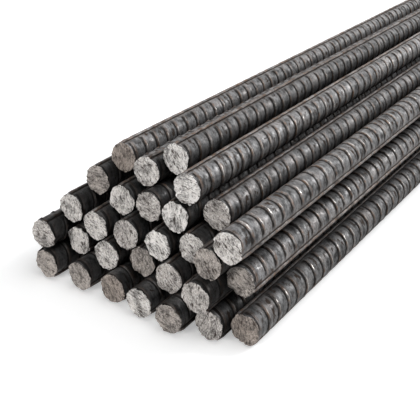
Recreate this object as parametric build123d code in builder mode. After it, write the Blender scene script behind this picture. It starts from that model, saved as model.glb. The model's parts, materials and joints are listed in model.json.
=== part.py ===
from build123d import *

import math
import os
from collections import namedtuple

# A heap of ribbed steel reinforcing bars that lie along +Y, seen from their sheared front ends.
# Lengths are in millimetres and angles in degrees. The origin is at the middle of the heap's
# foot: X runs across the heap, the front ends look to -Y, and Z is height above the floor.

# One bar: a 25 mm bar, measured across its plain core and along its two long ribs
core_diameter = 24.4
bar_length = 3000.0
long_rib_width = 3.6
long_rib_height = 1.4
long_rib_flank = 68.0
long_rib_rounding = 0.5

# How far the shear's cut at each end leans from square, towards a long rib
shear_lean = 3.0

# The clear gap between two bars that lie with the cross ribs of each in the valleys of the other
nested_gap = 0.9

# How far the foot of a long rib is sunk into the round core, so that the two are one body
long_rib_sink = 0.1

core_radius = core_diameter / 2
foot_depth = core_radius - math.sqrt(core_radius**2 - (long_rib_width / 2) ** 2) + long_rib_sink

FloorBar = namedtuple("FloorBar", "name gap_before set_back rib_turn")
StackedBar = namedtuple("StackedBar", "name left right left_gap right_gap set_back rib_turn")

# The bars on the floor from left to right: the clear gap to the bar before, how far the front
# end stands back from the mean front, and the direction of one long rib as seen from the front
floor_row = [
    FloorBar("floor_bar_1", 0.0, -20.0, 135.0),
    FloorBar("floor_bar_2", 12.5, -20.0, 155.0),
    FloorBar("floor_bar_3", 10.5, -20.0, 155.0),
    FloorBar("floor_bar_4", 6.0, -25.0, 160.0),
    FloorBar("floor_bar_5", 7.5, -30.0, 155.0),
    FloorBar("floor_bar_6", 5.5, -20.0, 135.0),
    FloorBar("floor_bar_7", nested_gap, -10.0, 125.0),
]

# The bars above lie between two others each, the left one and the right one. Each is nested
# against at least one of them; a wider gap on the other side is where the bars aren't quite
# straight and touch further along.
stacked_rows = [
    StackedBar("second_row_bar_2", "floor_bar_1", "floor_bar_2", 3.5, nested_gap, 0.0, 160.0),
    StackedBar("second_row_bar_1", "floor_bar_1", "second_row_bar_2", nested_gap, 2.0, -15.0, 80.0),
    StackedBar("second_row_bar_3", "floor_bar_2", "floor_bar_3", nested_gap, nested_gap, -5.0, 100.0),
    StackedBar("second_row_bar_4", "floor_bar_3", "floor_bar_4", nested_gap, nested_gap, 0.0, 105.0),
    StackedBar("second_row_bar_5", "floor_bar_4", "floor_bar_5", 3.5, nested_gap, -10.0, 100.0),
    StackedBar("second_row_bar_6", "floor_bar_5", "floor_bar_6", 7.5, nested_gap, -25.0, 140.0),
    StackedBar("second_row_bar_7", "second_row_bar_6", "floor_bar_7", nested_gap, 10.0, 0.0, 165.0),
    StackedBar("third_row_bar_1", "second_row_bar_1", "second_row_bar_2", nested_gap, 3.5, 5.0, 100.0),
    StackedBar("third_row_bar_2", "second_row_bar_2", "second_row_bar_3", 3.5, nested_gap, 0.0, 100.0),
    StackedBar("third_row_bar_3", "second_row_bar_3", "second_row_bar_4", 3.0, nested_gap, 0.0, 100.0),
    StackedBar("third_row_bar_4", "second_row_bar_4", "second_row_bar_5", nested_gap, nested_gap, 0.0, 110.0),
    StackedBar("third_row_bar_5", "second_row_bar_5", "second_row_bar_6", nested_gap, 6.0, 5.0, 115.0),
    StackedBar("third_row_bar_6", "second_row_bar_6", "second_row_bar_7", nested_gap, nested_gap, -15.0, 110.0),
    StackedBar("third_row_bar_7", "third_row_bar_6", "second_row_bar_7", nested_gap, 10.0, -15.0, 160.0),
    StackedBar("fourth_row_bar_1", "third_row_bar_1", "third_row_bar_2", nested_gap, 7.5, 25.0, 100.0),
    StackedBar("fourth_row_bar_2", "third_row_bar_2", "third_row_bar_3", 3.0, nested_gap, 15.0, 100.0),
    StackedBar("fourth_row_bar_3", "third_row_bar_3", "third_row_bar_4", nested_gap, 5.0, 15.0, 140.0),
    StackedBar("fourth_row_bar_4", "third_row_bar_4", "third_row_bar_5", nested_gap, 3.0, 10.0, 110.0),
    StackedBar("fourth_row_bar_5", "third_row_bar_5", "third_row_bar_6", nested_gap, nested_gap, 25.0, 100.0),
    StackedBar("fifth_row_bar_1", "fourth_row_bar_1", "fourth_row_bar_2", nested_gap, 5.5, 40.0, 100.0),
    StackedBar("fifth_row_bar_2", "fourth_row_bar_2", "fourth_row_bar_3", 3.0, nested_gap, 30.0, 80.0),
    StackedBar("fifth_row_bar_3", "fourth_row_bar_4", "fourth_row_bar_5", nested_gap, 4.5, 15.0, 105.0),
    StackedBar("top_bar", "fifth_row_bar_2", "fifth_row_bar_3", nested_gap, 5.0, 40.0, 95.0),
]


def resting_centre(left_centre, right_centre, left_gap, right_gap):
    """The centre of a bar that rests on two others, with the given clear gap to each."""
    across = right_centre[0] - left_centre[0]
    rise = right_centre[1] - left_centre[1]
    apart = math.hypot(across, rise)
    to_left = core_diameter + left_gap
    to_right = core_diameter + right_gap
    along = (to_left**2 - to_right**2 + apart**2) / (2 * apart)
    above = math.sqrt(to_left**2 - along**2)
    return (
        left_centre[0] + (across * along - rise * above) / apart,
        left_centre[1] + (rise * along + across * above) / apart,
    )


def lay_the_heap():
    """The centre, set back and rib direction of every bar, on the floor first."""
    centres = {}
    lies = {}
    run = 0.0
    for bar in floor_row:
        if centres:
            run += core_diameter + bar.gap_before
        centres[bar.name] = (run, core_radius)
        lies[bar.name] = bar
    for bar in stacked_rows:
        supports = (centres[bar.left], centres[bar.right])
        centres[bar.name] = resting_centre(*supports, bar.left_gap, bar.right_gap)
        lies[bar.name] = bar
    return centres, lies


def make_bar(name, x, y, z, rib_turn):
    """One bar: a core with two long ribs, cut at both ends by a leaning shear."""
    turn = math.radians(rib_turn)
    lean = math.radians(shear_lean)
    lean_x = math.sin(lean) * math.cos(turn)
    lean_z = math.sin(lean) * math.sin(turn)
    beside_ribs = (math.sin(turn), 0, -math.cos(turn))
    section_plane = Plane(origin=(x, y - core_diameter, z), x_dir=beside_ribs, z_dir=(0, -1, 0))
    near_cut = Plane(origin=(x, y, z), z_dir=(lean_x, -math.cos(lean), lean_z))
    far_cut = Plane(origin=(x, y + bar_length, z), z_dir=(lean_x, math.cos(lean), lean_z))
    with BuildPart() as bar:
        with BuildSketch(section_plane) as section:
            Circle(core_radius)
            with PolarLocations(core_radius - foot_depth, 2, start_angle=90):
                Trapezoid(
                    long_rib_width,
                    long_rib_height + foot_depth,
                    long_rib_flank,
                    rotation=-90,
                    align=(Align.CENTER, Align.MIN),
                )
            crests = section.vertices().sort_by_distance((0, 0))[-4:]
            fillet(crests, radius=long_rib_rounding)
        extrude(amount=-(bar_length + 2 * core_diameter))
        split(bisect_by=near_cut, keep=Keep.BOTTOM)
        split(bisect_by=far_cut, keep=Keep.BOTTOM)
    bar.part.label = name
    return bar.part


centres, lies = lay_the_heap()
across_all = [x for x, _ in centres.values()]
set_backs = [bar.set_back for bar in lies.values()]
middle_x = (min(across_all) + max(across_all)) / 2
middle_set_back = (min(set_backs) + max(set_backs)) / 2

os.makedirs("parts", exist_ok=True)
for name, (x, z) in centres.items():
    front = lies[name].set_back - middle_set_back - bar_length / 2
    bar_part = make_bar(name, x - middle_x, front, z, lies[name].rib_turn)
    export_step(bar_part, f"parts/{name}.step")
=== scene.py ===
import json
import math

import bpy
import numpy as np
from bpy.props import FloatProperty, FloatVectorProperty, IntProperty
from mathutils import Matrix, Vector

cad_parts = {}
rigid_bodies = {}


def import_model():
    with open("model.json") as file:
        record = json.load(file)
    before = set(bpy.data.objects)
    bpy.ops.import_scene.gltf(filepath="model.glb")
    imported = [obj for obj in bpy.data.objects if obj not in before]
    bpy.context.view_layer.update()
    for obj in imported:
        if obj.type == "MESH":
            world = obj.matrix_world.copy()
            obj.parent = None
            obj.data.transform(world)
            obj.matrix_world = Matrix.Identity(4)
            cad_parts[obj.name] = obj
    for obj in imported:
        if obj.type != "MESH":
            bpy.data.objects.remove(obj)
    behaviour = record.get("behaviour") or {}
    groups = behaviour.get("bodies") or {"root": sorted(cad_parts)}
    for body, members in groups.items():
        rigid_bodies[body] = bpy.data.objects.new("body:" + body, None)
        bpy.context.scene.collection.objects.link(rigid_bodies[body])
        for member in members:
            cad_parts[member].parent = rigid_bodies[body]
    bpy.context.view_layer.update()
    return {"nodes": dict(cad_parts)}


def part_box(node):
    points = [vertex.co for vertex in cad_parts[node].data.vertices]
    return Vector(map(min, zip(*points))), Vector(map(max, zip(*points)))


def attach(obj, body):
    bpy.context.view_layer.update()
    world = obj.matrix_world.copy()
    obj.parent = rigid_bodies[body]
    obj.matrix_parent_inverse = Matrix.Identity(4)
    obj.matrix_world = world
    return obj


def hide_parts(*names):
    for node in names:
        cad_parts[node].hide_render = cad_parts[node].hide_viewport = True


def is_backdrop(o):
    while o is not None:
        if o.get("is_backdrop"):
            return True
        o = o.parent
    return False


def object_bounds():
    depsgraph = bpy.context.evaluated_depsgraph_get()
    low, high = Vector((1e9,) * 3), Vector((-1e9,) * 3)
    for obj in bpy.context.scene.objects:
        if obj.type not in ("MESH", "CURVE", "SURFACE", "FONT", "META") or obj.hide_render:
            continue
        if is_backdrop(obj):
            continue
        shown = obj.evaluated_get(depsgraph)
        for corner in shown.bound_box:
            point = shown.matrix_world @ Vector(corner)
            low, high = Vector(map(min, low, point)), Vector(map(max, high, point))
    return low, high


bl_info = {
    "name": "Rebar bundle",
    "version": (1, 0, 0),
    "blender": (4, 5, 0),
    "location": "3D View > Sidebar > Rebar",
    "description": "Rolls the ribs onto a heap of reinforcing bars and sets it on a studio floor",
    "category": "Object",
}

# All lengths are in metres. A bar's angles are counted from +X towards +Z, as its front end shows.
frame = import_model()

# How bright each sheared end is: the bare steel of some is fresh and of others dull or brown
fresh_ends = ("top_bar", "fifth_row_bar_3", "fourth_row_bar_4", "third_row_bar_4")
clean_ends = (
    "fifth_row_bar_2",
    "fourth_row_bar_2",
    "third_row_bar_5",
    "third_row_bar_7",
    "third_row_bar_2",
    "third_row_bar_1",
    "second_row_bar_2",
    "second_row_bar_3",
    "floor_bar_4",
)
dull_ends = (
    "fourth_row_bar_1",
    "second_row_bar_4",
    "second_row_bar_7",
    "floor_bar_1",
    "third_row_bar_6",
    "floor_bar_2",
    "floor_bar_5",
)
brown_ends = ("fifth_row_bar_1", "floor_bar_3", "floor_bar_7")

# Bars whose mill scale is drawn darker than that of the others; on the bars deep in the heap this
# darkening is painted shade as well
darker_and_shaded_bars = {
    "top_bar": 0.62,
    "fifth_row_bar_1": 0.95,
    "fourth_row_bar_1": 0.75,
    "fourth_row_bar_2": 0.75,
    "fourth_row_bar_3": 0.8,
    "fourth_row_bar_4": 0.85,
    "fourth_row_bar_5": 0.76,
    "third_row_bar_1": 0.75,
    "third_row_bar_2": 0.8,
    "third_row_bar_3": 0.8,
    "third_row_bar_4": 0.85,
    "third_row_bar_7": 0.88,
    "second_row_bar_1": 0.75,
    "second_row_bar_2": 0.8,
    "floor_bar_1": 0.75,
    "floor_bar_2": 0.8,
    "floor_bar_7": 0.62,
}

# Where the shear left a burr on an end, counted round it in degrees
end_burrs = {
    "top_bar": (-82,),
    "fourth_row_bar_4": (96,),
    "third_row_bar_1": (-38,),
    "third_row_bar_2": (-24,),
    "third_row_bar_3": (-30,),
    "second_row_bar_1": (-33,),
    "floor_bar_7": (-64,),
}

# The round core: the points round it, and how far behind each end its long middle faces begin
SIDES = 60
END_HOOP = 0.004

# How far short of the bar's outermost points a point may be and still be on a long rib's crest
CREST_BAND = 0.0003

# How far behind the near end the first cross rib stands, in rib pitches, from least to most
FIRST_RIB = (0.5, 0.95)

# Sheared ends: the rings of a face from its rim to its middle, how deep its lip is, from what
# share of that to what share and how far out it stands, how much the rim strays from round, how
# deep its nicks are, and how high and, in radians, how wide a burr is
RING_SHARES = (1.0, 0.97, 0.9, 0.79, 0.66, 0.52, 0.37, 0.2)
LIP_DEPTH = 0.0005
LIP_STRAY = (0.6, 1.5)
LIP_SHARE = 1.004
RIM_WAVE = 0.012
RIM_NICKS = 0.00022
BURR_HEIGHT = 0.0013
BURR_WIDTH = 0.13

# The torn grain: the direction of its streaks, from what mean and how far it strays, the lengths
# of its waves, each with its share of the grain's depth, how far they stray from the streaks'
# direction, and the share of the small specks
GRAIN_LIE = (0.8, 0.4)
GRAIN_WAVES = ((0.014, 0.55), (0.008, 0.4), (0.0055, 0.3), (0.0038, 0.24), (0.0028, 0.18))
GRAIN_STRAY = 0.55
GRAIN_SPECKS = 0.16

# Long ribs: the steps from one cross rib to the next, the shares of the width at foot and crest,
# the share of the height left at the ends, how deep the feet are sunk in the core, how unevenly
# the ribs are rolled and rubbed, and where their cut ends lie among the unrolled coordinates
STEPS_PER_RIB = 3
LONG_RIB_FOOT = 1.05
LONG_RIB_CREST = 0.62
LONG_RIB_END = 0.55
LONG_RIB_SINK = 0.0008
LONG_RIB_STRAY = 0.14
LONG_RIB_WEAR = (0.5, 0.86)
LONG_RIB_CUT = (0.02, 0.0214)
LONG_RIB_CUT_WIDTH = 0.003

# Cross ribs: how many shapes there are, the places of their points from tip to tip, how
# steeply they run out, how deep their feet and tips are sunk, how far their points stray, from
# what share to what share their height and the width of their crest do, and how high the near
# edge of the crest counts as rubbed, against 1 for the far edge
RIB_SHAPES = 6
RIB_STATIONS = (-1.0, -0.66, -0.33, 0.0, 0.33, 0.66, 1.0)
RIB_RUN_OUT = 2.6
RIB_SINK = 0.0004
TIP_SINK = 0.0001
RIB_STRAY = 0.0004
RIB_HEIGHTS = (0.8, 1.04)
RIB_CRESTS = (0.65, 1.3)
NEAR_EDGE = 0.84

# How much one cross rib is larger or smaller than its shape, and how far it tilts, in radians
RIB_SIZES = (0.984, 1.006)
RIB_TILT = 0.045

# How far apart the seeds of a bar's two sides lie, and those of two bars
SIDE_SEEDS = 31
BAR_SEEDS = 97

# How far apart the unrolled coordinates of two bars' ends lie, and those of their skins in rib
# pitches, so that no two bars show the same marks
ENDS_APART = 0.13
SKINS_APART = 20

# Painted shade in the gaps between bars: how far from a neighbour it begins, and how much it
# darkens at the most
GAP_REACH = 0.016
GAP_SHADE = 0.93

# How much lighter or darker one bar's mill scale may come out
TONE_STRAY = 0.06

# On the core's skin, from the middle of a cross rib along the bar in rib pitches: the dark line of
# painted shade before the rib, the rust behind it, the brown patches between two ribs, and the
# rib's soft foot
DARK_LINE = (-0.22, -0.18)
RUST_LINE = (0.21, 0.16)
PATCH_SPAN = (0.26, 0.4)
FOOT_SPAN = (0.4, 0.13)

# On the core's skin, from the middle of a cross rib round the bar: the rust and the painted shade
# beside a long rib
RUST_EDGE = (0.0155, 0.0168)
SHADE_EDGE = (0.0159, 0.0169)

# The lamps: the setting for each one's strength, its width in degrees, where its light goes,
# and its tint
LAMPS = (
    ("Overhead lamp", "overhead_level", 65, (-0.45, -0.3, -1.0), (0.97, 0.985, 1.0)),
    ("Right lamp", "right_level", 14, (-0.47, -0.68, -0.56), (1.0, 0.99, 0.98)),
    ("Back lamp", "back_level", 30, (-0.15, -0.95, -0.38), (0.97, 0.985, 1.0)),
    ("Front lamp", "front_level", 20, (0.35, 1.0, -0.28), (1.0, 0.98, 0.96)),
)

# The floor's colour, and how far it reaches to each side of the heap
FLOOR_COLOUR = (0.85, 0.85, 0.85, 1)
FLOOR_REACH = 12.0

# The width of the camera's film, in millimetres
SENSOR_WIDTH = 36.0


class BarSettings(bpy.types.PropertyGroup):
    core_diameter: FloatProperty(
        name="Core diameter",
        description="Diameter of the bar between its ribs",
        default=0.0244,
        unit="LENGTH",
    )
    long_rib_width: FloatProperty(
        name="Long rib width",
        description="Width of a long rib where it leaves the core",
        default=0.0036,
        unit="LENGTH",
    )
    long_rib_height: FloatProperty(
        name="Long rib height",
        description="Height of a long rib above the core",
        default=0.0014,
        unit="LENGTH",
    )
    long_rib_wave: FloatProperty(
        name="Long rib wave",
        description="How much a long rib swells and narrows from one cross rib to the next",
        default=0.22,
        subtype="FACTOR",
    )
    rib_pitch: FloatProperty(
        name="Rib pitch",
        description="Distance from one cross rib to the next",
        default=0.015,
        unit="LENGTH",
    )
    rib_height: FloatProperty(
        name="Rib height",
        description="Height of a cross rib at its middle",
        default=0.0015,
        unit="LENGTH",
    )
    rib_foot: FloatProperty(
        name="Rib foot",
        description="Width of a cross rib where it leaves the core",
        default=0.0039,
        unit="LENGTH",
    )
    rib_crest: FloatProperty(
        name="Rib crest",
        description="Width of a cross rib along its top",
        default=0.0013,
        unit="LENGTH",
    )
    rib_lean: FloatProperty(
        name="Rib lean",
        description="Angle between a cross rib and the square section of the bar",
        default=math.radians(13),
        subtype="ANGLE",
    )
    rib_reach: FloatProperty(
        name="Rib reach",
        description="Angle round the bar from a cross rib's middle to its end",
        default=math.radians(76),
        subtype="ANGLE",
    )
    unevenness: FloatProperty(
        name="Unevenness",
        description="How far a cross rib strays from its place along the bar",
        default=0.0006,
        unit="LENGTH",
    )
    shear_lean: FloatProperty(
        name="Shear lean",
        description="Lean of the sheared ends from square",
        default=math.radians(3),
        subtype="ANGLE",
    )
    shear_roughness: FloatProperty(
        name="Shear roughness",
        description="Depth of the torn grain on a sheared end",
        default=0.001,
        unit="LENGTH",
    )
    seed: IntProperty(
        name="Seed",
        description="Chooses the uneven places of ribs and ends",
        default=7,
    )


class FinishSettings(bpy.types.PropertyGroup):
    dark_scale: FloatVectorProperty(
        name="Dark scale",
        description="Colour of the mill scale where it is darkest",
        default=(0.04, 0.039, 0.039),
        subtype="COLOR",
    )
    light_scale: FloatVectorProperty(
        name="Light scale",
        description="Colour of the mill scale where it is lightest",
        default=(0.35, 0.349, 0.353),
        subtype="COLOR",
    )
    worn_colour: FloatVectorProperty(
        name="Worn steel",
        description="Colour of the steel where the scale is rubbed off the crests",
        default=(0.76, 0.72, 0.68),
        subtype="COLOR",
    )
    rust_colour: FloatVectorProperty(
        name="Rust",
        description="Colour of the light rust along the ribs",
        default=(0.26, 0.145, 0.082),
        subtype="COLOR",
    )
    patch_colour: FloatVectorProperty(
        name="Brown patches",
        description="Colour of the old dark patches",
        default=(0.055, 0.038, 0.029),
        subtype="COLOR",
    )
    # Painted shade: the dark line before each cross rib, the groove beside the long ribs and the
    # feet of the ribs' flanks
    corner_shade_colour: FloatVectorProperty(
        name="Corners",
        description="Colour of the dirt in the corners of the ribs",
        default=(0.02, 0.016, 0.014),
        subtype="COLOR",
    )
    fresh_colour: FloatVectorProperty(
        name="Fresh ends",
        description="Colour of the freshest sheared ends",
        default=(0.92, 0.89, 0.865),
        subtype="COLOR",
    )
    clean_colour: FloatVectorProperty(
        name="Clean ends",
        description="Colour of the sheared ends that are still clean",
        default=(0.77, 0.735, 0.705),
        subtype="COLOR",
    )
    plain_colour: FloatVectorProperty(
        name="Plain ends",
        description="Colour of most sheared ends",
        default=(0.61, 0.57, 0.54),
        subtype="COLOR",
    )
    dull_colour: FloatVectorProperty(
        name="Dull ends",
        description="Colour of the sheared ends that have dulled",
        default=(0.45, 0.41, 0.38),
        subtype="COLOR",
    )
    brown_colour: FloatVectorProperty(
        name="Brown ends",
        description="Colour of the sheared ends with a film of rust",
        default=(0.37, 0.32, 0.285),
        subtype="COLOR",
    )
    gloss: FloatProperty(
        name="Gloss",
        description="How strongly the mill scale mirrors the light",
        default=0.12,
        subtype="FACTOR",
    )
    sheen: FloatProperty(
        name="Sheen",
        description="How much the mill scale shines like metal",
        default=0.32,
        subtype="FACTOR",
    )


class StageSettings(bpy.types.PropertyGroup):
    camera_place: FloatVectorProperty(
        name="Camera",
        description="Place of the camera",
        default=(0.348, -1.9416, 0.36),
        subtype="TRANSLATION",
        unit="LENGTH",
    )
    camera_azimuth: FloatProperty(
        name="Azimuth",
        description="Turn of the view from straight along the bars",
        default=math.radians(33.4),
        subtype="ANGLE",
    )
    camera_elevation: FloatProperty(
        name="Elevation",
        description="Angle that the camera looks down by",
        default=math.radians(26.72),
        subtype="ANGLE",
    )
    focal_length: FloatProperty(
        name="Focal length",
        description="Focal length of the camera",
        default=69.5,
        unit="CAMERA",
    )
    sky_level: FloatProperty(
        name="Sky level",
        description="Strength of the even light from all round",
        default=0.05,
    )
    overhead_level: FloatProperty(
        name="Overhead level",
        description="Strength of the large soft lamp above the heap",
        default=1.9,
    )
    right_level: FloatProperty(
        name="Right level",
        description="Strength of the lamp at the heap's far right that puts glints on the ribs",
        default=1.15,
    )
    back_level: FloatProperty(
        name="Back level",
        description="Strength of the low soft lamp behind the heap",
        default=0.25,
    )
    front_level: FloatProperty(
        name="Front level",
        description="Strength of the soft lamp that lights the sheared ends",
        default=2.4,
    )
    floor_glow: FloatProperty(
        name="Floor glow",
        description="How far the floor is lifted towards white where the camera sees it",
        default=0.38,
    )


def colour(value):
    """A colour with full opacity."""
    return (value[0], value[1], value[2], 1.0)


def bar_axis(name):
    """Where the bar's axis lies across the heap and above the floor."""
    low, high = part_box(name)
    return ((low.x + high.x) / 2, (low.z + high.z) / 2)


def bar_place(name, number, settings, rng):
    """The bar's axis, ends and leading long rib's direction, read from the CAD node."""
    low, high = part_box(name)
    corners = np.array([v.co for v in frame["nodes"][name].data.vertices], float)
    axis = bar_axis(name)
    out = corners[:, [0, 2]] - axis
    reach = np.hypot(out[:, 0], out[:, 1])
    foremost = out[corners[:, 1].argmin()]
    crest = out[(reach > reach.max() - CREST_BAND) & (out @ foremost < 0)].mean(0)
    return {
        "number": number,
        "x": axis[0],
        "z": axis[1],
        "front": low.y,
        "back": high.y,
        "turn": math.atan2(crest[1], crest[0]),
        "first_rib": low.y + settings.rib_pitch * rng.uniform(*FIRST_RIB),
        "burrs": end_burrs.get(name, ()),
    }


def gap_shade_depth(mesh, name, axes, settings):
    """How deep each point lies in the gaps between this bar and its neighbours, from 0 to 1."""
    points = np.zeros(len(mesh.vertices) * 3)
    mesh.vertices.foreach_get("co", points)
    points = points.reshape(-1, 3)
    nearest = np.full(len(points), 1.0)
    for other, (x, z) in axes.items():
        if other != name:
            apart = np.hypot(points[:, 0] - x, points[:, 2] - z)
            nearest = np.minimum(nearest, apart - settings.core_diameter / 2)
    return np.clip(1 - nearest / GAP_REACH, 0, 1)


class MeshParts:
    """Collects the points, faces, materials, unrolled coordinates and crest heights of one mesh."""

    def __init__(self):
        self.points = []
        self.faces = []
        self.materials = []
        self.smooth = []
        self.uvs = []
        self.crests = []

    def add_points(self, points, crests):
        start = len(self.points)
        self.points.extend(points)
        self.crests.extend(crests)
        return start

    def add_face(self, corners, material, smooth, uv=None):
        self.faces.append(corners)
        self.materials.append(material)
        self.smooth.append(smooth)
        self.uvs.extend(uv if uv else [(0.0, 0.0)] * len(corners))

    def to_mesh(self, name, materials):
        mesh = bpy.data.meshes.new(name)
        mesh.from_pydata(self.points, [], self.faces)
        for material in materials:
            mesh.materials.append(material)
        mesh.polygons.foreach_set("material_index", self.materials)
        mesh.polygons.foreach_set("use_smooth", self.smooth)
        layer = mesh.uv_layers.new(name="unrolled")
        layer.data.foreach_set("uv", np.array(self.uvs, np.float32).ravel())
        crest = mesh.attributes.new("crest", "FLOAT", "POINT")
        crest.data.foreach_set("value", np.array(self.crests, np.float32))
        mesh.update()
        return mesh


def waving(rng, count, waves):
    """A closed, gently waving row of values from -1 to 1."""
    around = np.arange(count) * 2 * math.pi / count
    total = np.zeros(count)
    for k in waves:
        total += rng.uniform(0.3, 1) / k * np.cos(k * around + rng.uniform(0, 2 * math.pi))
    return total / np.abs(total).max()


class TornGrain:
    """The torn relief of one sheared face: a few broad waves, finer ones across its streaks."""

    def __init__(self, rng, depth):
        self.streak = rng.normal(*GRAIN_LIE)
        self.waves = []
        for length, share in GRAIN_WAVES:
            lie = self.streak + rng.normal(0, GRAIN_STRAY)
            start = rng.uniform(0, 6.28)
            self.waves.append((math.cos(lie), math.sin(lie), length, depth * share, start))

    def depth_at(self, x, z):
        total = 0.0 * x
        for c, s, length, share, start in self.waves:
            total = total + share * np.sin(2 * math.pi * (c * x + s * z) / length + start)
        return total

    def flat(self, x, z, offset):
        """Coordinates across and along the streaks, set apart from those of other faces."""
        c, s = math.cos(self.streak), math.sin(self.streak)
        return (c * x + s * z + offset, c * z - s * x)


def unrolled(bar, angle, side, y, settings):
    """A point of the core's skin laid flat: round the bar, and along it in step with the ribs."""
    from_middle = angle - bar["turn"] - math.pi / 2 - side * math.pi
    round_bar = settings.core_diameter / 2 * from_middle
    along = y - bar["first_rib"] - round_bar * math.tan(settings.rib_lean)
    return (round_bar, along + settings.rib_pitch * (SKINS_APART * bar["number"] + side / 2))


def add_end(parts, bar, settings, rng, y_end, sign):
    """One torn end of the core: a rim on the skin and rings that follow the grain."""
    radius = settings.core_diameter / 2
    slope = math.tan(settings.shear_lean)
    angles = bar["turn"] + (np.arange(SIDES) + 0.5) * 2 * math.pi / SIDES
    outline = radius * (1 + RIM_WAVE * waving(rng, SIDES, (2, 3, 4, 5)))
    outline += np.minimum(0, rng.normal(0, RIM_NICKS, SIDES))
    for at in bar["burrs"] if sign > 0 else ():
        apart = (angles - math.radians(at) + math.pi) % (2 * math.pi) - math.pi
        outline += BURR_HEIGHT * np.exp(-((apart / BURR_WIDTH) ** 2))
    grain = TornGrain(rng, settings.shear_roughness)
    flat_place = bar["number"] * ENDS_APART
    rows = []
    flats = []
    for k, share in enumerate((1.0,) + RING_SHARES):
        r = outline * share * (1.0 if k else LIP_SHARE)
        x, z = r * np.cos(angles), r * np.sin(angles)
        y = slope * r * np.cos(angles - bar["turn"]) + grain.depth_at(x, z)
        y += rng.normal(0, settings.shear_roughness * GRAIN_SPECKS, SIDES)
        y += LIP_DEPTH * rng.uniform(*LIP_STRAY, SIDES) if k == 0 else 0.0
        points = np.stack([bar["x"] + x, y_end + sign * y, bar["z"] + z], 1)
        rows.append(parts.add_points(points.tolist(), [0.0] * SIDES))
        flats.append([grain.flat(p, q, flat_place) for p, q in zip(x, z)])
    deep = y_end + sign * float(grain.depth_at(np.array(0.0), np.array(0.0)))
    hub = parts.add_points([(bar["x"], deep, bar["z"])], [0.0])
    middle = grain.flat(0.0, 0.0, flat_place)
    for k in range(len(rows)):
        for i in range(SIDES):
            j = (i + 1) % SIDES
            if k + 1 < len(rows):
                corners = (rows[k] + i, rows[k] + j, rows[k + 1] + j, rows[k + 1] + i)
                uv = [flats[k][i], flats[k][j], flats[k + 1][j], flats[k + 1][i]]
            else:
                corners = (rows[k] + i, rows[k] + j, hub)
                uv = [flats[k][i], flats[k][j], middle]
            if sign < 0:
                corners, uv = corners[::-1], uv[::-1]
            parts.add_face(corners, 1, False, uv)
    return rows[0], angles


def add_core(parts, bar, settings, rng):
    """The round core with its two torn ends. Material 0 is rolled steel and 1 is sheared steel."""
    radius = settings.core_diameter / 2
    set_in = (radius + settings.long_rib_height) * math.sin(settings.shear_lean)
    ends = (bar["front"] + set_in, bar["back"] - set_in)
    near, angles = add_end(parts, bar, settings, rng, ends[0], 1)
    far, angles = add_end(parts, bar, settings, rng, ends[1], -1)
    hoops = [(near, ends[0])]
    for y in (ends[0] + END_HOOP, ends[1] - END_HOOP):
        points = [
            (bar["x"] + radius * math.cos(a), y, bar["z"] + radius * math.sin(a)) for a in angles
        ]
        hoops.append((parts.add_points(points, [0.0] * SIDES), y))
    hoops.append((far, ends[1]))
    step = 2 * math.pi / SIDES
    for (a, y_a), (b, y_b) in zip(hoops, hoops[1:]):
        for i in range(SIDES):
            j = (i + 1) % SIDES
            low = bar["turn"] + (i + 0.5) * step
            side = 0 if i + 1 < SIDES / 2 else 1
            spots = ((low, y_a), (low, y_b), (low + step, y_b), (low + step, y_a))
            uv = [unrolled(bar, angle, side, y, settings) for angle, y in spots]
            parts.add_face((a + i, b + i, b + j, a + j), 0, True, uv)


def add_long_ribs(parts, bar, settings, rng):
    """The two long ribs, which swell between the cross ribs and narrow where these run out."""
    radius = settings.core_diameter / 2
    crest_radius = radius + settings.long_rib_height
    set_in = crest_radius * math.sin(settings.shear_lean)
    for side in (0, 1):
        lean = (1 - 2 * side) * crest_radius * math.tan(settings.shear_lean)
        start, stop = bar["front"] + set_in + lean, bar["back"] - set_in - lean
        count = int((stop - start) / settings.rib_pitch * STEPS_PER_RIB) + 1
        turn = bar["turn"] + side * math.pi
        out = np.array([math.cos(turn), math.sin(turn)])
        across = np.array([-out[1], out[0]])
        at = np.linspace(start, stop, count)
        ribs_passed = (at - bar["first_rib"]) / settings.rib_pitch
        wave = settings.long_rib_wave * np.cos(2 * math.pi * ribs_passed)
        half = settings.long_rib_width / 2
        left = half * (1 - wave + rng.uniform(-LONG_RIB_STRAY, LONG_RIB_STRAY, count))
        right = half * (1 + wave + rng.uniform(-LONG_RIB_STRAY, LONG_RIB_STRAY, count))
        tall = 1 - 0.3 * np.abs(wave) + rng.uniform(-0.12, 0.05, count)
        tall *= settings.long_rib_height
        tall[[0, -1]] *= LONG_RIB_END
        wear = rng.uniform(*LONG_RIB_WEAR, count)
        sunk = np.full(count, radius - LONG_RIB_SINK)
        rows = []
        for width, r, crest in (
            (left * LONG_RIB_FOOT, sunk, 0 * wear),
            (left * LONG_RIB_CREST, radius + tall, wear),
            (-right * LONG_RIB_CREST, radius + tall, wear),
            (-right * LONG_RIB_FOOT, sunk, 0 * wear),
        ):
            spots = np.array([bar["x"], bar["z"]]) + r[:, None] * out + width[:, None] * across
            points = np.stack([spots[:, 0], at, spots[:, 1]], 1)
            rows.append(parts.add_points(points.tolist(), crest.tolist()))
        for a, b in zip(rows, rows[1:] + rows[:1]):
            for i in range(count - 1):
                parts.add_face((a + i, b + i, b + i + 1, a + i + 1), 2, True)
        flat_place = ENDS_APART * bar["number"]
        low, high = LONG_RIB_CUT
        cut = [(flat_place, low), (flat_place, high)]
        cut += [(flat_place + LONG_RIB_CUT_WIDTH, high), (flat_place + LONG_RIB_CUT_WIDTH, low)]
        parts.add_face(tuple(rows[::-1]), 1, False, cut)
        parts.add_face(tuple(r + count - 1 for r in rows), 1, False, cut)


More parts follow.
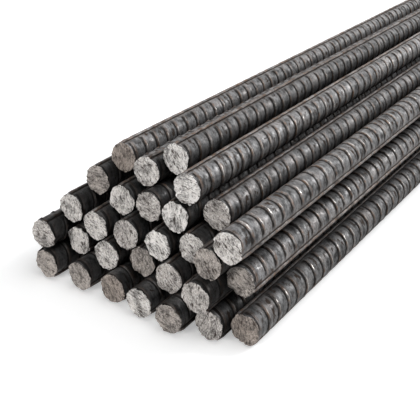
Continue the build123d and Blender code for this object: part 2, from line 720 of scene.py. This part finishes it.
def rib_shape(name, settings, rng):
    """One crescent cross rib round a bar that lies on the Y axis, its middle at the +Z side."""
    radius = settings.core_diameter / 2
    slope = math.tan(settings.rib_lean)
    parts = MeshParts()
    rows = []
    tips = []
    for share in RIB_STATIONS:
        angle = math.pi / 2 + share * settings.rib_reach
        along = radius * share * settings.rib_reach * slope
        if abs(share) == 1.0:
            r = radius - TIP_SINK
            tip = (r * math.cos(angle), along, r * math.sin(angle))
            tips.append(parts.add_points([tip], [0.0]))
            continue
        full = (1 - abs(share) ** RIB_RUN_OUT) * rng.uniform(*RIB_HEIGHTS)
        along += rng.uniform(-RIB_STRAY, RIB_STRAY)
        foot = settings.rib_foot / 2 * (0.6 + 0.4 * full)
        top = settings.rib_crest / 2 * (0.5 + 0.5 * full) * rng.uniform(*RIB_CRESTS)
        crest = radius + settings.rib_height * full
        sunk = radius - RIB_SINK
        points = []
        for dy, r in ((-foot, sunk), (-top, crest), (top, crest), (foot, sunk)):
            points.append((r * math.cos(angle), along + dy, r * math.sin(angle)))
        rows.append(parts.add_points(points, [0.0, NEAR_EDGE * full, full, 0.0]))
    for a, b in zip(rows, rows[1:]):
        for i in range(4):
            j = (i + 1) % 4
            parts.add_face((a + i, a + j, b + j, b + i), 0, True)
    for i in range(4):
        j = (i + 1) % 4
        parts.add_face((rows[0] + j, rows[0] + i, tips[0]), 0, True)
        parts.add_face((rows[-1] + i, rows[-1] + j, tips[1]), 0, True)
    mesh = parts.to_mesh(name, [])
    return bpy.data.objects.new(name, mesh)


def make_rib_shapes(settings):
    """A collection of slightly different cross ribs, which the tree picks from."""
    shapes = bpy.data.collections.new("cross_rib_shapes")
    for k in range(RIB_SHAPES):
        rng = np.random.default_rng(settings.seed + k)
        shapes.objects.link(rib_shape(f"cross_rib_shape_{k}", settings, rng))
    return shapes


class NodeMaker:
    """Adds nodes to a tree and links them, one call for each node."""

    def __init__(self, tree):
        self.tree = tree
        self.column = 0

    def put(self, socket, value):
        if isinstance(value, bpy.types.NodeSocket):
            self.tree.links.new(value, socket)
        else:
            socket.default_value = value

    def node(self, kind, inputs=(), **values):
        made = self.tree.nodes.new(kind)
        made.location = (self.column % 12 * 180, -(self.column // 12) * 220)
        self.column += 1
        for key, value in values.items():
            setattr(made, key, value)
        for key, value in dict(inputs).items():
            self.put(made.inputs[key], value)
        return made

    def math(self, operation, a, b=0.0, clamp=False):
        made = self.node("ShaderNodeMath", {0: a, 1: b}, operation=operation, use_clamp=clamp)
        return made.outputs[0]

    def vector(self, x=0.0, y=0.0, z=0.0):
        return self.node("ShaderNodeCombineXYZ", {"X": x, "Y": y, "Z": z}).outputs["Vector"]

    def chance(self, kind, seed, low, high):
        """A random number from low to high for each point, whole where the kind is INT."""
        first, result = {"FLOAT": (2, 1), "INT": (4, 2)}[kind]
        inputs = {first: low, first + 1: high, "Seed": seed}
        return self.node("FunctionNodeRandomValue", inputs, data_type=kind).outputs[result]

    def stretched(self, where, x, y):
        """Coordinates scaled by x and y, for grain that runs one way."""
        made = self.node("ShaderNodeMapping", {"Vector": where, "Scale": (x, y, 1.0)})
        return made.outputs["Vector"]

    def noise(self, where, scale, detail=3.0, roughness=0.6, distortion=0.0):
        inputs = {"Vector": where, "Scale": scale, "Detail": detail}
        inputs.update({"Roughness": roughness, "Distortion": distortion})
        return self.node("ShaderNodeTexNoise", inputs).outputs["Fac"]

    def span(self, value, low, high, to_low=0.0, to_high=1.0):
        """The value brought from low..high to to_low..to_high, and held there."""
        inputs = {"Value": value, "From Min": low, "From Max": high}
        inputs.update({"To Min": to_low, "To Max": to_high})
        return self.node("ShaderNodeMapRange", inputs).outputs["Result"]

    def mix(self, share, a, b):
        made = self.node("ShaderNodeMix", data_type="RGBA")
        self.put(made.inputs[0], share)
        self.put(made.inputs[6], a)
        self.put(made.inputs[7], b)
        return made.outputs[2]


def add_sockets(tree, way, sockets):
    """Gives a node tree its named inputs or outputs."""
    for name, kind in sockets:
        tree.interface.new_socket(name, in_out=way, socket_type="NodeSocket" + kind)


def make_rib_tree():
    """Geometry Nodes: cross ribs along both sides of a bar, joined to the bar itself."""
    tree = bpy.data.node_groups.new("Cross ribs", "GeometryNodeTree")
    inputs = (
        ("Geometry", "Geometry"),
        ("Shapes", "Collection"),
        ("Count", "Int"),
        ("Pitch", "Float"),
        ("Unevenness", "Float"),
        ("Seed", "Int"),
        ("First Rib", "Vector"),
        ("Turn", "Float"),
        ("Steel", "Material"),
    )
    add_sockets(tree, "INPUT", inputs)
    add_sockets(tree, "OUTPUT", (("Geometry", "Geometry"),))
    maker = NodeMaker(tree)
    given = maker.node("NodeGroupInput").outputs
    shapes = maker.node(
        "GeometryNodeCollectionInfo",
        {"Collection": given["Shapes"], "Separate Children": True, "Reset Children": True},
    )
    step = maker.vector(y=given["Pitch"])
    sides = maker.node("GeometryNodeJoinGeometry")
    for side in (0, 1):
        start = maker.vector(y=maker.math("MULTIPLY", given["Pitch"], side * 0.5))
        line = maker.node(
            "GeometryNodeMeshLine",
            {"Count": given["Count"], "Start Location": start, "Offset": step},
            mode="OFFSET",
        )
        seed = maker.node(
            "FunctionNodeIntegerMath", {0: given["Seed"], 1: SIDE_SEEDS * side}, operation="ADD"
        ).outputs["Value"]
        back = maker.math("MULTIPLY", given["Unevenness"], -1.0)
        stray = maker.vector(y=maker.chance("FLOAT", seed, back, given["Unevenness"]))
        place = maker.node(
            "GeometryNodeSetPosition", {"Geometry": line.outputs["Mesh"], "Offset": stray}
        )
        size = maker.chance("FLOAT", seed, *RIB_SIZES)
        tilt = maker.chance("FLOAT", seed, -RIB_TILT, RIB_TILT)
        ribs = maker.node(
            "GeometryNodeInstanceOnPoints",
            {
                "Points": place.outputs["Geometry"],
                "Instance": shapes.outputs["Instances"],
                "Pick Instance": True,
                "Instance Index": maker.chance("INT", seed, 0, RIB_SHAPES - 1),
                "Rotation": maker.vector(x=tilt, y=side * math.pi),
                "Scale": maker.vector(x=size, y=1.0, z=size),
            },
        )
        mark = maker.node(
            "GeometryNodeStoreNamedAttribute",
            {
                "Geometry": ribs.outputs["Instances"],
                "Name": "wear",
                "Value": maker.chance("FLOAT", seed, 0.0, 1.0),
            },
            data_type="FLOAT",
            domain="INSTANCE",
        )
        maker.put(sides.inputs["Geometry"], mark.outputs["Geometry"])
    carry = maker.node(
        "GeometryNodeTransform",
        {
            "Geometry": sides.outputs["Geometry"],
            "Translation": given["First Rib"],
            "Rotation": maker.vector(y=given["Turn"]),
        },
    )
    solid = maker.node("GeometryNodeRealizeInstances", {"Geometry": carry.outputs["Geometry"]})
    paint = maker.node(
        "GeometryNodeSetMaterial",
        {"Geometry": solid.outputs["Geometry"], "Material": given["Steel"]},
    )
    whole = maker.node("GeometryNodeJoinGeometry")
    maker.put(whole.inputs["Geometry"], paint.outputs["Geometry"])
    maker.put(whole.inputs["Geometry"], given["Geometry"])
    maker.node("NodeGroupOutput", {"Geometry": whole.outputs["Geometry"]})
    return tree


def set_inputs(modifier, values):
    """Sets a Geometry Nodes modifier's inputs by the names of their sockets."""
    for item in modifier.node_group.interface.items_tree:
        if item.item_type == "SOCKET" and item.in_out == "INPUT" and item.name in values:
            modifier[item.identifier] = values[item.name]


def make_skin_group():
    """Shader group: mill scale with a smooth cloudy tone, fine cracks and spots of brown rust."""
    group = bpy.data.node_groups.new("Mill scale", "ShaderNodeTree")
    colours = [(name, "Color") for name in ("Dark Scale", "Light Scale", "Rust Colour")]
    add_sockets(group, "INPUT", [("Along", "Vector"), *colours, ("Rust", "Float")])
    outputs = (("Colour", "Color"), ("Roughness", "Float"), ("Height", "Float"))
    add_sockets(group, "OUTPUT", outputs)
    maker = NodeMaker(group)
    given = maker.node("NodeGroupInput").outputs
    streaks = maker.noise(maker.stretched(given["Along"], 130.0, 180.0), 1.0, 6.0, 0.7)
    clouds = maker.noise(maker.stretched(given["Along"], 70.0, 45.0), 1.0, 3.0, 0.6)
    spots = maker.noise(maker.stretched(given["Along"], 300.0, 330.0), 1.0, 3.0, 0.6)
    light = maker.math("MULTIPLY", streaks, 0.55)
    light = maker.math("ADD", light, maker.math("MULTIPLY", clouds, 0.45))
    steel = maker.mix(maker.span(light, 0.41, 0.59), given["Dark Scale"], given["Light Scale"])
    curls = maker.noise(maker.stretched(given["Along"], 170.0, 210.0), 1.0, 2.0, 0.6, 1.5)
    curls = maker.math("ABSOLUTE", maker.math("SUBTRACT", curls, 0.5))
    cracks = maker.span(curls, 0.035, 0.01)
    cracks = maker.math("MULTIPLY", cracks, maker.span(clouds, 0.38, 0.52))
    steel = maker.mix(maker.math("MULTIPLY", cracks, 0.55), steel, given["Dark Scale"])
    tinge = maker.math("MULTIPLY", maker.span(clouds, 0.5, 0.7), 0.15)
    rust = maker.math("MULTIPLY", given["Rust"], maker.span(spots, 0.36, 0.58, 0.25, 1.0))
    rust = maker.math("MAXIMUM", rust, tinge)
    painted = maker.mix(rust, steel, given["Rust Colour"])
    rough = maker.span(light, 0.4, 0.6, 0.53, 0.29)
    rough = maker.math("ADD", rough, maker.math("MULTIPLY", rust, 0.3), True)
    height = maker.math("MULTIPLY", streaks, 0.4)
    height = maker.math("ADD", height, maker.math("MULTIPLY", spots, 0.25))
    height = maker.math("SUBTRACT", height, maker.math("MULTIPLY", cracks, 0.25))
    maker.node("NodeGroupOutput", {"Colour": painted, "Roughness": rough, "Height": height})
    return group


def new_material(name):
    material = bpy.data.materials.new(name)
    material.use_nodes = True
    material.node_tree.nodes.clear()
    return material, NodeMaker(material.node_tree)


def close_material(maker, paint, rough, metal, height, bump, distance, gloss=0.5):
    """Ends a material in one Principled shader with a bump."""
    relief = {"Height": height, "Strength": bump, "Distance": distance}
    bumped = maker.node("ShaderNodeBump", relief).outputs["Normal"]
    shader = maker.node(
        "ShaderNodeBsdfPrincipled",
        {"Base Color": paint, "Roughness": rough, "Metallic": metal, "Normal": bumped},
    )
    shader.inputs["Specular IOR Level"].default_value = gloss
    maker.node("ShaderNodeOutputMaterial", {"Surface": shader.outputs["BSDF"]})


def skin_node(maker, group, finish, along, rust):
    """The mill scale group with the finish's colours."""
    made = maker.node("ShaderNodeGroup", node_tree=group)
    maker.put(made.inputs["Along"], along)
    maker.put(made.inputs["Rust"], rust)
    made.inputs["Dark Scale"].default_value = colour(finish.dark_scale)
    made.inputs["Light Scale"].default_value = colour(finish.light_scale)
    made.inputs["Rust Colour"].default_value = colour(finish.rust_colour)
    return made.outputs


def toned_and_shaded(maker, paint):
    """The colour darkened by the bar's own tone and by the painted shade in the gaps."""
    tone = maker.node("ShaderNodeAttribute", attribute_name="tone").outputs["Fac"]
    return maker.node("ShaderNodeHueSaturation", {"Color": paint, "Value": tone}).outputs["Color"]


def core_material(group, settings, finish):
    """The core's skin: painted shade before each cross rib, rusty behind it, with brown patches
    between.
    """
    material, maker = new_material("Rolled core")
    flat = maker.node("ShaderNodeUVMap", uv_map="unrolled").outputs["UV"]
    split = maker.node("ShaderNodeSeparateXYZ", {"Vector": flat}).outputs
    ribs = maker.math("DIVIDE", split["Y"], settings.rib_pitch)
    offset = maker.math("SUBTRACT", ribs, maker.math("ROUND", ribs))
    reach = settings.core_diameter / 2 * settings.rib_reach
    from_middle = maker.math("ABSOLUTE", split["X"])
    beside = maker.span(from_middle, reach * 0.8, reach * 1.02, 1.0, 0.0)
    spots = maker.noise(maker.stretched(flat, 210.0, 300.0), 1.0, 3.0, 0.6)
    # Painted shade: a dark line on the near side of each cross rib's foot
    before = maker.span(offset, *DARK_LINE)
    before = maker.math("MULTIPLY", before, maker.math("LESS_THAN", offset, 0.0))
    broken = maker.math("MULTIPLY", beside, maker.span(spots, 0.3, 0.5, 0.55, 1.0))
    before = maker.math("MULTIPLY", before, broken)
    behind = maker.span(offset, *RUST_LINE)
    behind = maker.math("MULTIPLY", behind, maker.math("GREATER_THAN", offset, 0.0))
    behind = maker.math("MULTIPLY", behind, beside)
    from_rib = maker.math("ABSOLUTE", offset)
    patches = maker.noise(maker.stretched(flat, 95.0, 150.0), 1.0, 3.0, 0.65, 0.4)
    patches = maker.math(
        "MULTIPLY", maker.span(patches, 0.56, 0.62), maker.span(from_rib, *PATCH_SPAN)
    )
    edge = maker.span(from_middle, *RUST_EDGE)
    # Painted shade: a dark groove beside each long rib
    groove_shade = maker.math("MULTIPLY", maker.span(from_middle, *SHADE_EDGE), 0.85)
    foot = maker.span(from_rib, *FOOT_SPAN)
    foot = maker.math("MULTIPLY", maker.math("MULTIPLY", foot, foot), beside)
    rust = maker.math("MULTIPLY", behind, 0.3)
    rust = maker.math("ADD", rust, maker.math("MULTIPLY", edge, 0.6), True)
    skin = skin_node(maker, group, finish, flat, rust)
    painted = maker.mix(patches, skin["Colour"], colour(finish.patch_colour))
    painted = maker.mix(before, painted, colour(finish.corner_shade_colour))
    painted = maker.mix(groove_shade, painted, colour(finish.corner_shade_colour))
    dull = maker.math("MAXIMUM", maker.math("MAXIMUM", patches, before), groove_shade)
    rough = maker.math("ADD", skin["Roughness"], maker.math("MULTIPLY", dull, 0.3), True)
    metal = maker.math("SUBTRACT", finish.sheen, dull, True)
    height = maker.math("SUBTRACT", skin["Height"], maker.math("MULTIPLY", patches, 0.35))
    height = maker.math("ADD", height, maker.math("MULTIPLY", foot, 1.2))
    painted = toned_and_shaded(maker, painted)
    close_material(maker, painted, rough, metal, height, 0.7, 0.0008, finish.gloss)
    return material


def rib_material(name, group, finish, rust_on_top):
    """The ribs: painted shade in the flank's corner, rusty below the edge, and rubbed bright on
    top.
    """
    material, maker = new_material(name)
    crest = maker.node("ShaderNodeAttribute", attribute_name="crest").outputs["Fac"]
    wear = maker.node("ShaderNodeAttribute", attribute_name="wear").outputs["Fac"]
    where = maker.node("ShaderNodeTexCoord").outputs["Object"]
    spots = maker.noise(where, 240.0, 3.0, 0.6)
    rust = maker.math("MULTIPLY", maker.span(crest, 0.3, 0.5), maker.span(crest, 0.9, 0.7))
    rust = maker.math("MULTIPLY", rust, maker.span(spots, 0.4, 0.6, 0.1, 0.7))
    blots = maker.span(maker.noise(where, 75.0, 4.0, 0.65), 0.44, 0.56, 0.15, 1.0)
    blots = maker.math("MULTIPLY", blots, maker.span(crest, 0.4, 0.7))
    blots = maker.math("MULTIPLY", blots, rust_on_top)
    rust = maker.math("MAXIMUM", rust, blots)
    skin = skin_node(maker, group, finish, where, rust)
    rubbed = maker.math("MULTIPLY", maker.span(crest, 0.72, 0.88), maker.span(spots, 0.4, 0.54))
    rubbed = maker.math("MULTIPLY", rubbed, maker.span(wear, 0.0, 1.0, 0.4, 1.0))
    painted = maker.mix(rubbed, skin["Colour"], colour(finish.worn_colour))
    # Painted shade: the lower half of each flank, down to the rib's foot, darkened to the corner
    # shade colour
    corner = maker.span(crest, 0.5, 0.25)
    painted = maker.mix(corner, painted, colour(finish.corner_shade_colour))
    rough = maker.math("SUBTRACT", skin["Roughness"], maker.math("MULTIPLY", rubbed, 0.27))
    metal = maker.math("SUBTRACT", finish.sheen, corner, True)
    metal = maker.math("ADD", metal, maker.math("MULTIPLY", rubbed, 0.5))
    painted = toned_and_shaded(maker, painted)
    close_material(maker, painted, rough, metal, skin["Height"], 0.4, 0.0005, finish.gloss)
    return material


def end_material(name, finish, tone):
    """Sheared steel: torn streaks and small dark specks over bare or dulled steel."""
    material, maker = new_material(name)
    flat = maker.node("ShaderNodeUVMap", uv_map="unrolled").outputs["UV"]
    fine = maker.noise(maker.stretched(flat, 1000.0, 260.0), 1.0, 4.0, 0.7, 0.4)
    coarse = maker.noise(maker.stretched(flat, 400.0, 115.0), 1.0, 3.0, 0.6, 0.5)
    grain = maker.noise(maker.stretched(flat, 1000.0, 600.0), 1.0, 3.0, 0.75)
    clouds = maker.noise(flat, 80.0, 2.0, 0.5)
    dark = maker.math("MULTIPLY", maker.span(coarse, 0.48, 0.4), maker.span(fine, 0.53, 0.44))
    tones = maker.math("MULTIPLY", fine, 0.45)
    tones = maker.math("ADD", tones, maker.math("MULTIPLY", grain, 0.35))
    tones = maker.math("ADD", tones, maker.math("MULTIPLY", coarse, 0.2))
    tones = maker.math("ADD", tones, maker.span(clouds, 0.35, 0.65, -0.045, 0.06))
    shade = colour([0.25 * c for c in tone])
    glint = colour([min(1.75 * c, 0.95) for c in tone])
    bare = maker.mix(maker.span(tones, 0.43, 0.55), shade, colour(tone))
    flecks = maker.span(clouds, 0.45, 0.6, 0.4, 1.0)
    flecks = maker.math("MULTIPLY", maker.span(grain, 0.54, 0.62), flecks)
    bare = maker.mix(flecks, bare, glint)
    painted = maker.mix(dark, bare, colour(finish.patch_colour))
    rough = maker.span(tones, 0.35, 0.65, 0.6, 0.42)
    close_material(maker, painted, rough, 0.2, tones, 1.0, 0.0035)
    return material


def end_tone(name, finish):
    """The colour of a bar's sheared ends."""
    if name in fresh_ends:
        return "fresh", finish.fresh_colour
    if name in clean_ends:
        return "clean", finish.clean_colour
    if name in brown_ends:
        return "brown", finish.brown_colour
    if name in dull_ends:
        return "dull", finish.dull_colour
    return "plain", finish.plain_colour


def roll_cross_ribs(context, piece, tree, inputs):
    """Runs the tree of cross ribs over a bar and gives back the whole as a plain mesh."""
    roll = piece.modifiers.new("Cross ribs", "NODES")
    roll.node_group = tree
    set_inputs(roll, inputs)
    shown = piece.evaluated_get(context.evaluated_depsgraph_get())
    rolled = bpy.data.meshes.new_from_object(shown)
    piece.modifiers.remove(roll)
    return rolled


class REBAR_OT_roll_bars(bpy.types.Operator):
    """Makes every bar: its core, two long ribs, cross ribs and sheared ends"""

    bl_idname = "rebar.roll_bars"
    bl_label = "Roll the bars"

    def execute(self, context):
        settings = context.scene.rebar_bar
        finish = context.scene.rebar_finish
        group = make_skin_group()
        core = core_material(group, settings, finish)
        cross_ribs = rib_material("Cross ribs", group, finish, 0.1)
        long_ribs = rib_material("Long ribs", group, finish, 0.45)
        shapes = make_rib_shapes(settings)
        tree = make_rib_tree()
        ends = {}
        axes = {name: bar_axis(name) for name in frame["nodes"]}
        for number, name in enumerate(sorted(frame["nodes"])):
            rng = np.random.default_rng(settings.seed * 1000 + number)
            bar = bar_place(name, number, settings, rng)
            look, tone = end_tone(name, finish)
            if look not in ends:
                ends[look] = end_material(f"Sheared end, {look}", finish, tone)
            end = ends[look]
            parts = MeshParts()
            add_core(parts, bar, settings, rng)
            add_long_ribs(parts, bar, settings, rng)
            mesh = parts.to_mesh(name, [core, end, long_ribs])
            piece = bpy.data.objects.new(f"ribbed_{name}", mesh)
            context.scene.collection.objects.link(piece)
            inputs = {
                "Shapes": shapes,
                "Count": int((bar["back"] - bar["first_rib"]) / settings.rib_pitch - 1),
                "Pitch": settings.rib_pitch,
                "Unevenness": settings.unevenness,
                "Seed": settings.seed + BAR_SEEDS * number,
                "First Rib": (bar["x"], bar["first_rib"], bar["z"]),
                "Turn": -bar["turn"],
                "Steel": cross_ribs,
            }
            rolled = roll_cross_ribs(context, piece, tree, inputs)
            piece.data = rolled
            rolled.name = name
            # The tone attribute holds the bar's own tone with the painted shade of the gaps between
            # bars multiplied in
            own = darker_and_shaded_bars.get(name, 1.0) + rng.uniform(-TONE_STRAY, TONE_STRAY)
            tones = own * (1 - GAP_SHADE * gap_shade_depth(rolled, name, axes, settings))
            shade = rolled.attributes.new("tone", "FLOAT", "POINT")
            shade.data.foreach_set("value", tones.astype(np.float32))
            if not rolled.polygons:
                raise RuntimeError(f"{name} came out empty")
            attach(piece, "root")
            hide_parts(name)
        for shape in list(shapes.objects):
            bpy.data.objects.remove(shape)
        bpy.data.collections.remove(shapes)
        return {"FINISHED"}


def floor_material(stage):
    """Matt white floor that keeps the heap's shadow and meets the white background unseen."""
    material, maker = new_material("Studio floor")
    rays = maker.node("ShaderNodeLightPath").outputs
    seen = maker.math("MULTIPLY", rays["Is Camera Ray"], stage.floor_glow)
    shader = maker.node(
        "ShaderNodeBsdfPrincipled",
        {
            "Base Color": FLOOR_COLOUR,
            "Roughness": 0.9,
            "Emission Color": (1, 1, 1, 1),
            "Emission Strength": seen,
        },
    )
    shader.inputs["Specular IOR Level"].default_value = 0.1
    maker.node("ShaderNodeOutputMaterial", {"Surface": shader.outputs["BSDF"]})
    return material


def make_floor(context, stage):
    """A wide level floor under the heap."""
    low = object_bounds()[0]
    mesh = bpy.data.meshes.new("floor")
    sides = ((-1, -1), (1, -1), (1, 1), (-1, 1))
    corners = [(FLOOR_REACH * x, FLOOR_REACH * y, low[2]) for x, y in sides]
    mesh.from_pydata(corners, [], [(0, 1, 2, 3)])
    mesh.materials.append(floor_material(stage))
    floor = bpy.data.objects.new("floor", mesh)
    context.scene.collection.objects.link(floor)
    floor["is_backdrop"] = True


def make_sky(context, stage):
    """Faint even light from all round, white where the camera or a mirrored ray sees it."""
    world = bpy.data.worlds.new("Studio")
    context.scene.world = world
    world.use_nodes = True
    world.node_tree.nodes.clear()
    maker = NodeMaker(world.node_tree)
    rays = maker.node("ShaderNodeLightPath").outputs
    direct = maker.math("MAXIMUM", rays["Is Camera Ray"], rays["Is Glossy Ray"])
    direct = maker.math("MAXIMUM", direct, rays["Is Transmission Ray"])
    level = maker.span(direct, 0.0, 1.0, stage.sky_level, 1.0)
    sky = maker.node("ShaderNodeBackground", {"Color": (1, 1, 1, 1), "Strength": level})
    maker.node("ShaderNodeOutputWorld", {"Surface": sky.outputs["Background"]})


def hang_lamps(context, stage):
    """The studio's lamps, each of them far away and soft."""
    for name, strength, angle, toward, tint in LAMPS:
        lamp = bpy.data.lights.new(name, "SUN")
        lamp.energy = getattr(stage, strength)
        lamp.color = tint
        lamp.angle = math.radians(angle)
        holder = bpy.data.objects.new(name, lamp)
        holder.rotation_euler = Vector(toward).to_track_quat("-Z", "Y").to_euler()
        context.scene.collection.objects.link(holder)


def make_camera(context, stage):
    """The camera, placed and turned as the photograph was taken."""
    lens = bpy.data.cameras.new("Camera")
    lens.sensor_width = SENSOR_WIDTH
    lens.sensor_fit = "HORIZONTAL"
    lens.lens = stage.focal_length
    camera = bpy.data.objects.new("Camera", lens)
    a = stage.camera_azimuth
    e = stage.camera_elevation
    right = Vector((math.cos(a), math.sin(a), 0))
    ahead = Vector((-math.sin(a) * math.cos(e), math.cos(a) * math.cos(e), -math.sin(e)))
    up = right.cross(ahead)
    turn = Matrix((right, up, -ahead)).transposed().to_4x4()
    camera.matrix_world = Matrix.Translation(stage.camera_place) @ turn
    context.scene.collection.objects.link(camera)
    context.scene.camera = camera


class REBAR_OT_set_stage(bpy.types.Operator):
    """Sets the floor, the soft studio light and the camera"""

    bl_idname = "rebar.set_stage"
    bl_label = "Set the stage"

    def execute(self, context):
        stage = context.scene.rebar_stage
        make_floor(context, stage)
        make_sky(context, stage)
        hang_lamps(context, stage)
        make_camera(context, stage)
        context.scene.view_settings.view_transform = "Standard"
        return {"FINISHED"}


class REBAR_PT_sidebar(bpy.types.Panel):
    """Lists the settings and the steps"""

    bl_label = "Rebar bundle"
    bl_idname = "REBAR_PT_sidebar"
    bl_space_type = "VIEW_3D"
    bl_region_type = "UI"
    bl_category = "Rebar"

    def draw(self, context):
        scene = context.scene
        for settings in (scene.rebar_bar, scene.rebar_finish, scene.rebar_stage):
            box = self.layout.box()
            for name in settings.bl_rna.properties.keys():
                if name not in ("rna_type", "name"):
                    box.prop(settings, name)
        self.layout.operator(REBAR_OT_roll_bars.bl_idname)
        self.layout.operator(REBAR_OT_set_stage.bl_idname)


classes = (
    BarSettings,
    FinishSettings,
    StageSettings,
    REBAR_OT_roll_bars,
    REBAR_OT_set_stage,
    REBAR_PT_sidebar,
)


def register():
    for item in classes:
        bpy.utils.register_class(item)
    bpy.types.Scene.rebar_bar = bpy.props.PointerProperty(type=BarSettings)
    bpy.types.Scene.rebar_finish = bpy.props.PointerProperty(type=FinishSettings)
    bpy.types.Scene.rebar_stage = bpy.props.PointerProperty(type=StageSettings)


def unregister():
    del bpy.types.Scene.rebar_bar
    del bpy.types.Scene.rebar_finish
    del bpy.types.Scene.rebar_stage
    for item in reversed(classes):
        bpy.utils.unregister_class(item)


def main():
    register()
    bpy.ops.rebar.roll_bars()
    bpy.ops.rebar.set_stage()


if __name__ == "__main__":
    main()
